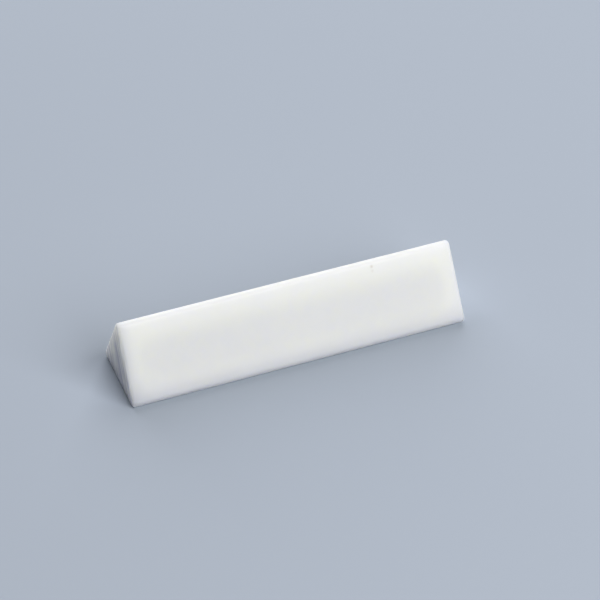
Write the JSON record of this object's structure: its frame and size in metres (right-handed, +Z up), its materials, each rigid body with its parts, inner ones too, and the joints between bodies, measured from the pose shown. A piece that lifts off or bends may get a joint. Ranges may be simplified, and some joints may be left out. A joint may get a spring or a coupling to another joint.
{
  "type": "magnetic stir bar",
  "caption": "Triangular prism stir bar for stirring liquids: a rod magnet sealed in a seamless white PTFE jacket with softly rounded edges, lying on one flat side.",
  "frame": {"origin": "middle of the flat side that the bar rests on", "axes": "+X along the bar, +Z up from the surface that it rests on, towards the opposite long edge"},
  "size_m": [0.05, 0.0122, 0.0108],
  "materials": {
    "ptfe": "smooth and waxy, with a low satin sheen",
    "alnico": "ground grey metal"
  },
  "bodies": {
    "root": {"ptfe_jacket": "ptfe", "magnet_core": "alnico"}
  },
  "joints": []
}
